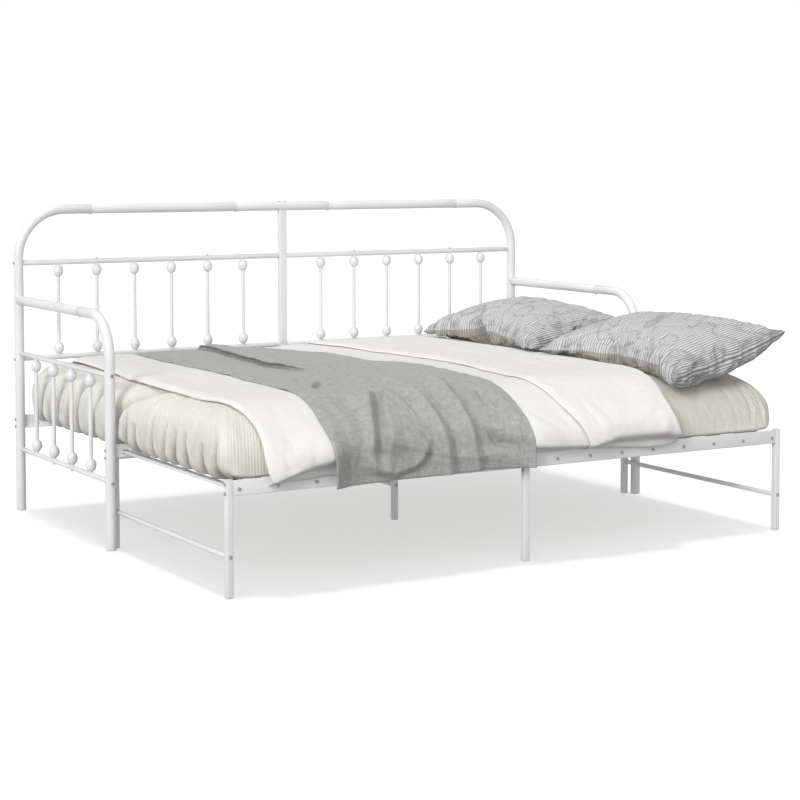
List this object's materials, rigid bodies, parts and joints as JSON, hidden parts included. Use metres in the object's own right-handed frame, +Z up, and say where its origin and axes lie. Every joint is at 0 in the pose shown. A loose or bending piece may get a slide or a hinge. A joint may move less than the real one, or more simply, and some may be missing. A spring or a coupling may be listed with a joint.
{
  "type": "daybed",
  "caption": "White tubular steel daybed with an arched spindle back, spindle arms and a slatted base that pulls out to a double, made up with mattress, duvet, throw and pillows.",
  "frame": {"origin": "bottom centre of the whole object's box, on the floor, with the base pulled out", "axes": "+X along the bed from the foot end to the pillow end, +Y from the pulled-out front to the spindle back, +Z up"},
  "size_m": [2.096, 1.6902, 1.069],
  "materials": {
    "white_steel": "satin",
    "mattress_ticking": "matte",
    "duvet_linen": "matte",
    "throw_linen": "matte",
    "pillow_cotton": "matte"
  },
  "bodies": {
    "main_frame": {"back_post_left": "white_steel", "back_post_right": "white_steel", "top_rail_left": "white_steel", "top_rail_centre": "white_steel", "top_rail_right": "white_steel", "back_centre_post": "white_steel", "back_mid_rail_left": "white_steel", "back_mid_rail_right": "white_steel", "back_lower_rail_left": "white_steel", "back_lower_rail_right": "white_steel", "back_spindle_1": "white_steel", "back_spindle_2": "white_steel", "back_spindle_3": "white_steel", "back_spindle_4": "white_steel", "back_spindle_5": "white_steel", "back_spindle_6": "white_steel", "back_spindle_7": "white_steel", "back_spindle_8": "white_steel", "back_spindle_9": "white_steel", "back_spindle_10": "white_steel", "back_spindle_11": "white_steel", "back_spindle_12": "white_steel", "arm_left_front_post": "white_steel", "arm_left_top_tube": "white_steel", "arm_left_upper_rail": "white_steel", "arm_left_lower_rail": "white_steel", "arm_left_spindle_1": "white_steel", "arm_left_spindle_2": "white_steel", "arm_left_spindle_3": "white_steel", "arm_left_spindle_4": "white_steel", "arm_right_front_post": "white_steel", "arm_right_top_tube": "white_steel", "arm_right_upper_rail": "white_steel", "arm_right_lower_rail": "white_steel", "arm_right_spindle_1": "white_steel", "arm_right_spindle_2": "white_steel", "arm_right_spindle_3": "white_steel", "arm_right_spindle_4": "white_steel", "seat_front_rail": "white_steel", "seat_slat_frame": "white_steel", "seat_centre_leg_front": "white_steel", "seat_centre_leg_rear": "white_steel", "seat_centre_leg_bar": "white_steel", "mattress": "mattress_ticking", "duvet": "duvet_linen", "throw": "throw_linen", "pillow_rear": "pillow_cotton", "pillow_front": "pillow_cotton"},
    "pull_out": {"pull_out_front_rail": "white_steel", "pull_out_slat_frame": "white_steel", "pull_out_leg_front_left": "white_steel", "pull_out_leg_front_right": "white_steel", "pull_out_leg_rear_left": "white_steel", "pull_out_leg_rear_right": "white_steel", "pull_out_leg_bar_left": "white_steel", "pull_out_leg_bar_right": "white_steel", "pull_out_centre_leg": "white_steel"}
  },
  "joints": [
    {"name": "pull_out_slide", "type": "slide", "parent": "main_frame", "child": "pull_out", "axis": [0, 1, 0], "range_m": [0, 0.76]}
  ]
}
